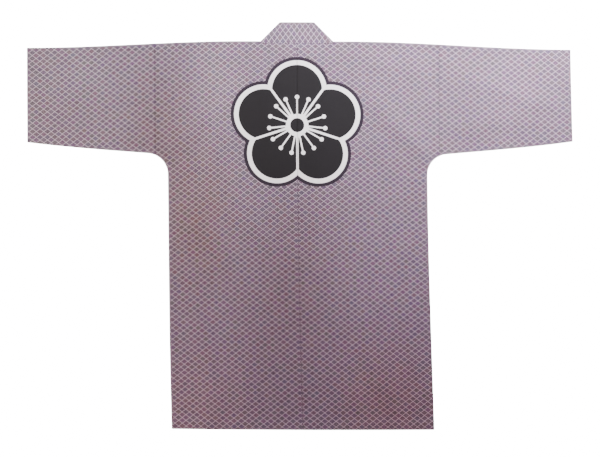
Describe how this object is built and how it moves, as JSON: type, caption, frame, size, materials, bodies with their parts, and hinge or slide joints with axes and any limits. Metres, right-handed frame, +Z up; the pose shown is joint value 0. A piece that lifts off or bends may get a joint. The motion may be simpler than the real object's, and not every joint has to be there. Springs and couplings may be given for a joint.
{
  "type": "happi coat",
  "caption": "Straight-cut cotton festival coat with wide sleeves and a long band collar, laid flat with its back up and its fronts underneath.",
  "frame": {"origin": "on the surface that the coat lies on, under the middle of its outline", "axes": "+X across the coat towards the wearer's right sleeve, +Y towards the neck, +Z up out of the surface"},
  "size_m": [1.241, 0.9282, 0.0058],
  "materials": {
    "body_cloth": "matt plain-weave cotton with a fine woven-mat print in black and violet on pale lavender grey",
    "sleeve_cloth": "the same printed cotton",
    "collar_cloth": "the same printed cotton with the print turned a quarter"
  },
  "bodies": {
    "root": {"body_left": "body_cloth", "body_right": "body_cloth", "sleeve_left": "sleeve_cloth", "sleeve_right": "sleeve_cloth", "collar": "collar_cloth"}
  },
  "joints": []
}
